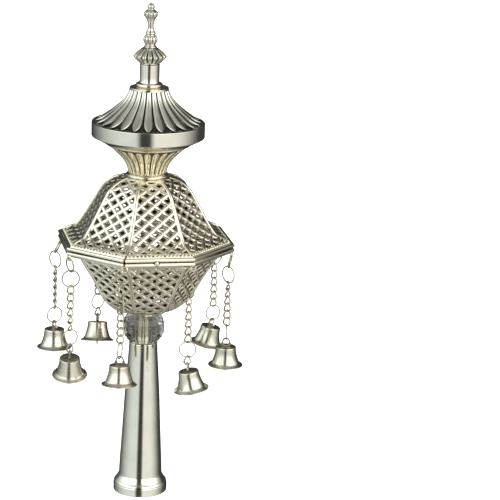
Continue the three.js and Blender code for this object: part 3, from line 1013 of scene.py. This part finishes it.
@dataclass
class Lantern:
    """The openwork lantern: bowl, two rim mouldings with their beaded line, rivet and eyes, and dome."""

    rim_middle: float = 178.0
    bead_pitch: float = 2.45
    bead_radius: float = 0.78
    eye_reach: float = 59.0

    def bowl(self, finishes: Finishes) -> None:
        """Makes the bowl: openwork sides on a small plain floor, with a plain strip along the top."""
        base = [(12, 129.7), (20.8, 132.4), (30.8, 141.3)]
        side = rounded([*base, (40, 157.1), (46.5, 167), (49.0, 171.2)], 10)
        panel = Panel(side, first=5.6, proud=1.1, sunk=0.65)
        strip = [(48.3, 170.2), (49.3, 170.0), (50.6, 172.6), (49.8, 172.7), (48.6, 171.0)]
        floor = [(3.9, 129.3), (13.2, 129.3), (15.0, 130.0), (13.5, 130.6), (3.9, 130.3)]
        plain = [eight_sided(np.array(outline)) for outline in (strip, floor)]
        whole = Skin.joined([panel.all_round(), *plain])
        whole.piece("bowl", Slot.CAST, finishes.cast, ["bowl"], 50)

    def dome(self, finishes: Finishes) -> None:
        """Makes the dome: openwork from the beaded line up, under a small plain top."""
        flange = [(55.6, 182.3), (51.6, 183.9), (47.9, 185.6)]
        shoulder = [(28.2, 216), (22, 220.3), (15.6, 222.0)]
        side = rounded([*flange, (45.2, 188.6), (41, 195), (36.3, 203), (32, 210.4), *shoulder], 9)
        panel = Panel(side)
        cap = eight_sided(np.array([(7, 221.6), (16.2, 221.3), (17.0, 221.8), (15.5, 222.6), (7, 222.6)]))
        hem = eight_sided(np.array([(53.6, 181.5), (56, 181.5), (56.2, 182.2), (55.4, 182.9), (53.6, 182.6)]))
        whole = Skin.joined([panel.all_round(), cap, hem])
        whole.piece("dome", Slot.CAST, finishes.cast, ["dome"], 50)

    def rims(self, finishes: Finishes) -> None:
        """Makes the two mouldings. The lower one carries the eyes, the upper one the beaded line."""
        middle = self.rim_middle
        low = np.vstack(
            [
                [(50.5, 173.0), (56.6, 173.3), (58.7, 174.0), (59.2, 174.9)],
                arc(59.75, 176.35, 1.25, -95, 80, 12),
                [(58.9, middle - 0.25), (58.3, middle - 0.15), (50.5, middle - 0.15)],
            ]
        )
        eye_angle = 2 * np.pi * np.arange(24) / 24
        radius = 1.9
        eye = np.stack([radius * np.cos(eye_angle), 0 * eye_angle, radius * np.sin(eye_angle)], axis=1)
        ring = swept(eye, np.array([0, 1.0, 0]), oval(0.55, 0.55), True)
        level = np.array([0, 0, 173.4])
        eyes = [
            ring.moved(turn_z((k + 0.5) * CORNER_STEP), self.eye_reach * corner_way(k) + level)
            for k in range(SIDES)
        ]
        lower = Skin.joined([eight_sided(low, 1.0), *eyes])
        lower.piece("lower_rim", Slot.CAST, finishes.cast, ["lower_rim"], 30)
        high = np.vstack(
            [
                [(54.2, middle + 0.15), (58.3, middle + 0.15), (58.9, middle + 0.3)],
                arc(59.75, 179.55, 1.25, -80, 95, 12),
                [(59.1, 180.6), (58.6, 180.3), (58.2, 180.9), (57.9, 181.3), (55.9, 181.3), (54.2, 181.3)],
            ]
        )
        upper = Skin.joined([eight_sided(high, 1.0), self.beads()])
        upper.piece("upper_rim", Slot.CAST, finishes.cast, ["upper_rim"], 30)

    def beads(self) -> Skin:
        """The beaded line: small rounds a pitch apart along each side of the rim's top."""
        r = 57.0
        t = np.radians(np.linspace(-90, 90, 6))
        small = turned(np.stack([self.bead_radius * np.cos(t), self.bead_radius * np.sin(t)], axis=1), 8)
        length = 2 * r * math.sin(CORNER_STEP / 2)
        count = int(length / self.bead_pitch)
        skins = []
        for k in range(SIDES):
            start, end = r * corner_way(k), r * corner_way(k + 1)
            for number in range(count):
                place = start + (end - start) * (number + 0.5) / count + np.array([0, 0, 181.35])
                skins.append(small.moved(np.eye(3), place))
        return Skin.joined(skins)

    def rivet(self, finishes: Finishes) -> None:
        """Makes the small round-headed rivet in the front of the groove, in a sunk washer."""
        t = np.radians(np.linspace(0, 90, 7))
        crown = np.stack([1.25 * np.cos(t), 0.75 * np.sin(t)], axis=1)
        head = np.vstack([[(0, -1.2), (1.25, -1.2)], crown])
        washer = np.array([(1.3, -0.9), (1.9, -0.9), (2.0, -0.2), (1.75, 0.05), (1.35, -0.5)])
        out = turn_x(math.radians(90))
        place = np.array([-1.8, -(61.0 * math.cos(CORNER_STEP / 2)) - 0.1, self.rim_middle - 0.35])
        skins = [turned(head, 24).moved(out, place), turned(washer, 24).moved(out, place)]
        # Painted shade in the sunk washer.
        skins[1].hollow[:] = 0.9
        Skin.joined(skins).piece("rim_rivet", Slot.CAST, finishes.cast, ["rim_rivet"], 50)

    def build(self, finishes: Finishes) -> None:
        """Makes the whole lantern."""
        self.bowl(finishes)
        self.rims(finishes)
        self.rivet(finishes)
        self.dome(finishes)


def corner_way(k: int) -> Points:
    """The level direction from the axis to a corner of the lantern, counted from the back left."""
    angle = (k + 0.5) * CORNER_STEP - math.pi
    return np.array([math.sin(angle), -math.cos(angle), 0.0])


# ---------------------------------------------------------------- chains and bells


@dataclass(frozen=True)
class Hanging:
    """How one bell hangs: how far its top ring swings sideways and how much short of its reach the chain
    hangs in mm, the extra link, how upper ring, chain (first and last link), lower ring and strap are
    turned from the front, how the bell leans, all in degrees, and whether its clapper is a flat disc."""

    swing: float
    slack: float
    extra: bool
    upper: float
    twist: tuple[float, float]
    ring: float
    strap: float
    side: float = 0.0
    back: float = 0.0
    weight: bool = False


@dataclass(frozen=True)
class Loop:
    """A loop of wire: half its height, half its width, and the wire's radius."""

    radius: float
    wire: float
    width: float = 0.0


@dataclass
class Chains:
    """The chains, bells and clappers under the rim."""

    links: int = 6
    reach: float = 59.0
    top: float = 173.4 - 1.9 + 0.6 + 0.7 + 0.3
    hanger: Loop = Loop(4.6, 0.7)
    upper_ring: Loop = Loop(5.7, 0.5)
    lower_ring: Loop = Loop(5.4, 0.42)
    link: Loop = Loop(2.95, 0.58, 2.2)
    link_twist: float = 0.8
    bearing: float = 0.75
    bell_height: float = 13.4
    strap_reach: float = 2.7
    strap_half: float = 0.6

    def hangings(self) -> list[Hanging]:
        """The bells as they came to rest, from the back left round the front to the back right."""
        return [
            Hanging(1.0, 1.2, True, -58, (50, 10), 40, 100, 0, -14),
            Hanging(3.8, 1.2, False, -46, (85, 100), 27, 117, 0, -2),
            Hanging(-1.2, 0, True, 10, (8, 78), 30, 90, 0, 13),
            Hanging(2.1, 0, False, 77, (35, 12), 75, 175, 0, -5),
            Hanging(2.3, -0.8, True, -58, (52, 28), 0, 85, 10, 0),
            Hanging(1.7, 0, False, -49, (72, 2), 88, 180, weight=True),
            Hanging(2.1, 0, False, 32, (38, 30), 27, 117, -12, 0),
        ]

    def ring(self, loop: Loop, flat: float = 1.0) -> Skin:
        """A round loop in the XZ plane.

        Args:
            loop: its sizes.
            flat: the wire's size along Y, against its size in the plane.

        Returns:
            The skin.
        """
        angle = 2 * np.pi * np.arange(40) / 40
        path = loop.radius * np.stack([np.cos(angle), 0 * angle, np.sin(angle)], axis=1)
        return swept(path, np.array([0, 1.0, 0]), oval(loop.wire, loop.wire * flat), True)

    def curb(self) -> Skin:
        """A curb link: the wire's middle runs along (w cos t, c sin 2t, l sin t), which turns its two ends
        across each other."""
        t = 2 * np.pi * np.arange(28) / 28
        size = self.link
        twist = self.link_twist * np.sin(2 * t)
        path = np.stack([size.width * np.cos(t), twist, size.radius * np.sin(t)], axis=1)
        return swept(path, np.array([0, 1.0, 0]), oval(size.wire, size.wire), True)

    def chain(self, corner: int, hanging: Hanging) -> tuple[Skin, Points]:
        """A chain from its eye down.

        Args:
            corner: which corner of the rim it hangs from.
            hanging: how it hangs.

        Returns:
            The chain, and the place where the bell's strap rests.
        """
        place = self.reach * corner_way(corner) + np.array([0, 0, self.top])
        left = np.array([-math.cos(FACING), -math.sin(FACING), 0.0])
        down = left * hanging.swing + np.array([0, 0, -2 * self.hanger.radius])
        down = down / np.linalg.norm(down)
        angle = (corner + 0.5) * CORNER_STEP - math.pi
        plumb = np.array([0, 0, -1.0])
        axis = np.cross(plumb, down)
        cross = np.array([[0, -axis[2], axis[1]], [axis[2], 0, -axis[0]], [-axis[1], axis[0], 0]])
        lean = np.eye(3) + cross + cross @ cross / (1 + float(plumb @ down))
        hanger = self.ring(self.hanger, 0.8).moved(turn_z(angle), np.array([0, 0, -self.hanger.radius]))
        skins = [hanger.moved(lean, place)]
        place = place + 2 * self.hanger.radius * down
        above = self.hanger

        def hang(loop: Loop, skin: Skin, heading: float) -> None:
            """Hangs one loop under the last, turned by a heading in degrees from the front."""
            nonlocal place, above
            place = place + np.array([0, 0, (above.wire + loop.wire) * self.bearing - loop.radius])
            skins.append(skin.moved(turn_z(math.radians(heading) + FACING), place))
            place = place - np.array([0, 0, loop.radius])
            above = loop

        hang(self.upper_ring, self.ring(self.upper_ring), hanging.upper)
        first, last = hanging.twist
        for i in range(self.links):
            place = place + np.array([0, 0, hanging.slack / self.links])
            hang(self.link, self.curb(), first + (last - first) * i / (self.links - 1))
        hang(self.lower_ring, self.ring(self.lower_ring), hanging.ring)
        if hanging.extra:
            hang(self.link, self.curb(), hanging.strap - 60)
        place = place + np.array([0, 0, above.wire + 0.3])
        return Skin.joined(skins), place

    def bell(self, heading: float) -> Skin:
        """A bell that hangs from the origin, the inside of its strap.

        Args:
            heading: how the strap is turned, in degrees from the front.

        Returns:
            The cup and its strap.
        """
        lip = [(10.7, 0.0), (11.6, 0.15), (11.7, 0.7), (10.7, 1.25), (9.4, 2.3)]
        side = rounded([*lip, (8.6, 4), (7.8, 6.5), (7.2, 9), (6.9, 11.3)], 5)
        shoulder = arc(6.05, 12.55, 0.85, 10, 90, 5)
        inside = inset(side, 0.7)[::-1]
        crown = [(0, self.bell_height), (0, 12.7), (5.8, 12.6)]
        outline = np.vstack([side, shoulder, crown, inside[3:-4], [(10.5, 0.2)]])
        drop = 0.3 - 2 * self.strap_reach

        def press(r: Points, z: Points, angle: Points) -> tuple[Points, Points]:
            """Paints shade on the inside and on the ring under the strap."""
            rows = np.arange(len(r))[:, None]
            within = rows > len(side) + len(shoulder) + 1
            strap_shade = np.exp(-(((z - 13.3) / 0.4) ** 2)) * (r < 6.0) * (rows > len(side))
            return 0 * r, np.where(within, 0.85, 0.35 * strap_shade)

        cup = turned(outline, 56, press).moved(np.eye(3), np.array([0, 0, drop - self.bell_height]))
        phi = 2 * np.pi * np.arange(48) / 48
        hole = np.stack([1.95 * np.cos(phi), 0.25 + 2.1 * np.sin(phi)], axis=1)
        low = np.clip(-np.sin(phi), 0, 1)
        edge = np.stack([2.75 * np.cos(phi) * (1 + 0.95 * low), 0.2 + 2.95 * np.sin(phi)], axis=1)
        half = self.strap_half
        corners = [(edge, -half), (edge, half), (hole, half), (hole, -half)]
        ring = np.stack([np.stack([p[:, 0], 0 * p[:, 0] + y, p[:, 1]], axis=1) for p, y in corners])
        strap = Skin.grid(ring, True, True, 0.12)
        lift = np.array([0, 0, 0.35 - self.strap_reach])
        return Skin.joined([cup, strap.moved(turn_z(math.radians(heading)), lift)])

    def clapper(self, weight: bool) -> Skin:
        """The clapper inside a bell: a thin rod with a small bob, or a flat disc that shows under the rim."""
        rod_top = self.bell_height - 1.1
        if weight:
            end = np.array([(0, -1.5), (3.9, -1.5), (4.1, -1.15), (3.9, -0.8), (0.55, -0.5)])
        else:
            end = np.array([(0, -2.9), (0.5, -2.7), (0.62, -1.4), (0.5, 0)])
        outline = np.vstack([end, [(0.45, rod_top - 0.5), (0.45, rod_top), (0, rod_top)]])
        drop = 0.3 - 2 * self.strap_reach - self.bell_height
        return turned(outline, 24).moved(np.eye(3), np.array([0, 0, drop]))

    def build(self, finishes: Finishes) -> None:
        """Makes every chain with its bell and clapper."""
        for corner, hanging in enumerate(self.hangings()):
            number = corner + 1
            chain, place = self.chain(corner, hanging)
            chain.piece(f"chain_{number}", Slot.WIRE, finishes.wire, [f"chain_{number}"], 60)
            lean = turn_z(FACING) @ turn_x(math.radians(hanging.back)) @ turn_y(math.radians(-hanging.side))
            bell = self.bell(hanging.strap).moved(lean, place)
            bell.piece(f"bell_{number}", Slot.BRUSHED, finishes.bell, [f"bell_{number}"], 45)
            clapper = self.clapper(hanging.weight).moved(lean, place)
            clapper.piece(f"clapper_{number}", Slot.WIRE, finishes.wire, [f"clapper_{number}"], 45)


# ---------------------------------------------------------------- studio


@dataclass
class Studio:
    """The pale floor, the soft light and the camera. Distances are in metres."""

    distance: float = 1.367
    height: float = 0.547
    pitch: float = 15.28
    yaw: float = 2.95
    roll: float = 2.13
    lens: float = 151.4
    sensor: float = 36.0
    floor_radius: float = 9.0
    backdrop: float = 6.02
    panel_light: float = 0.85
    core_light: float = 1.3
    overhead_light: float = 0.24
    floor_light: float = 0.26
    dim_light: float = 0.055

    def camera(self) -> None:
        """Places the camera: level toward the axis, turned right by the yaw, down by the pitch and then
        rolled about its own line of sight."""
        toward = np.array([-math.sin(FACING), math.cos(FACING), 0])
        right = np.array([math.cos(FACING), math.sin(FACING), 0])
        y, t, r = math.radians(self.yaw), math.radians(self.pitch), math.radians(self.roll)
        ahead = toward * math.cos(y) + right * math.sin(y)
        right = right * math.cos(y) - toward * math.sin(y)
        upward = np.array([0, 0, 1.0])
        look = ahead * math.cos(t) - upward * math.sin(t)
        up = ahead * math.sin(t) + upward * math.cos(t)
        right, up = right * math.cos(r) + up * math.sin(r), up * math.cos(r) - right * math.sin(r)
        data = bpy.data.cameras.new("camera")
        data.sensor_width, data.lens = self.sensor, self.lens
        data.clip_start, data.clip_end = 0.05, 60
        made = bpy.data.objects.new("camera", data)
        bpy.context.scene.collection.objects.link(made)
        place = np.array([math.sin(FACING) * self.distance, -math.cos(FACING) * self.distance, self.height])
        matrix = np.eye(4)
        matrix[:3, 0], matrix[:3, 1], matrix[:3, 2], matrix[:3, 3] = right, up, -look, place
        made.matrix_world = Matrix(matrix.tolist())
        bpy.context.scene.camera = made

    def floor(self) -> None:
        """Makes the floor, which rises into a backdrop all round, far outside the view. It is lit from
        within a little, as a light table is, and neither metal nor glass mirrors it or shows it."""
        r, rise = self.floor_radius, self.backdrop
        sweep = arc(r - 3, 3, 3, -90, 0, 12)
        outline = np.vstack([[(0, 0), (r - 3, 0)], sweep, [(r, rise)]])
        angle = 2 * np.pi * np.arange(64) / 64
        x, y = outline[:, :1] * np.sin(angle), -outline[:, :1] * np.cos(angle)
        z = np.repeat(outline[:, 1:], 64, axis=1)
        skin = Skin.grid(np.stack([x, y, z], axis=-1), False, True)
        mesh = bpy.data.meshes.new("floor")
        mesh.from_pydata(skin.points.tolist(), [], skin.faces.tolist())
        mesh.shade_smooth()
        made = bpy.data.objects.new("floor", mesh)
        bpy.context.scene.collection.objects.link(made)
        sheet = ShaderSheet("pale_floor")
        grain = sheet.noise((3, 3, 3), 2.0)
        tint = sheet.blend(sheet.between(grain, 0.3, 0.7), (0.93, 0.93, 0.93), (0.91, 0.91, 0.91))
        sheet.set("Base Color", tint)
        sheet.set("Roughness", 0.9)
        sheet.set("Emission Color", (1, 1, 1, 1))
        sheet.set("Emission Strength", 0.75)
        mesh.materials.append(sheet.material)
        made.visible_glossy = False
        made.visible_transmission = False
        made.visible_shadow = False

    def light(self) -> None:
        """Lights the room by its walls: a large soft light to the left and another to the right, with a
        dark gap between them where the camera stands, less light overhead and from below, and dimness
        behind."""
        world = bpy.data.worlds.new("soft_studio")
        bpy.context.scene.world = world
        world.use_nodes = True
        sheet = NodeSheet(world.node_tree)
        background = world.node_tree.nodes["Background"]
        aside, toward, climb = sheet.bearings("Generated")
        turn = sheet.maths("ARCTAN2", aside, toward)
        turn = sheet.maths("MULTIPLY", turn, 180 / math.pi)
        left = sheet.maths("MULTIPLY", sheet.between(turn, -26, -12, 1, 0), sheet.between(turn, -160, -50))
        right = sheet.maths("MULTIPLY", sheet.between(turn, 2, 16), sheet.between(turn, 50, 130, 1, 0))
        fade = sheet.between(climb, 0.7, 1.0, 1, 0.25)
        tall = sheet.maths("MULTIPLY", sheet.between(climb, -1.0, -0.6), fade)
        core = sheet.maths("MULTIPLY", sheet.between(climb, 0.02, 0.2), sheet.between(climb, 0.55, 0.8, 1, 0))
        tall = sheet.maths("MULTIPLY", tall, self.panel_light)
        strength = sheet.maths("ADD", tall, sheet.maths("MULTIPLY", core, self.core_light))
        black = (0.0, 0.0, 0.0)
        cool = sheet.blend(sheet.maths("MULTIPLY", left, strength), black, (0.86, 0.9, 0.88))
        warm = sheet.blend(sheet.maths("MULTIPLY", right, strength), black, (1.04, 1.0, 0.94))
        for node in (cool.node, warm.node):
            node.clamp_factor = False
        both = sheet.add("ShaderNodeMix", data_type="RGBA", blend_type="ADD")
        both.inputs["Factor"].default_value = 1.0
        sheet.join(cool, both.inputs[6])
        sheet.join(warm, both.inputs[7])
        dim = sheet.add("ShaderNodeMix", data_type="RGBA", blend_type="ADD")
        dim.inputs["Factor"].default_value = 1.0
        overhead = sheet.maths("MULTIPLY", sheet.between(climb, 0.6, 0.97), self.overhead_light)
        beneath = sheet.maths("MULTIPLY", sheet.between(climb, -0.45, -0.85), self.floor_light)
        glow = sheet.maths("ADD", sheet.maths("ADD", overhead, beneath), self.dim_light)
        dull = sheet.blend(glow, black, (1.0, 0.985, 0.93))
        sheet.join(dull, dim.inputs[7])
        sheet.join(both.outputs[2], dim.inputs[6])
        sheet.join(dim.outputs[2], background.inputs["Color"])
        background.inputs["Strength"].default_value = 1.0

    def build(self) -> None:
        """Makes the studio."""
        self.floor()
        self.light()
        self.camera()
        bpy.context.scene.view_settings.view_transform = "Standard"


def main() -> None:
    """Builds the studio and then the finial from the foot up."""
    logging.basicConfig(level=logging.INFO, format="%(name)s %(message)s")
    Studio().build()
    finishes = Finishes()
    lower = (Stem(), CrystalBead(), Collars(), Lantern(), Chains())
    parts = (*lower, Calyx(), Roof(), Neck(), RibbedBead(), Spire())
    for part in parts:
        LOG.info("building %s", type(part).__name__)
        part.build(finishes)


if __name__ == "__main__":
    main()
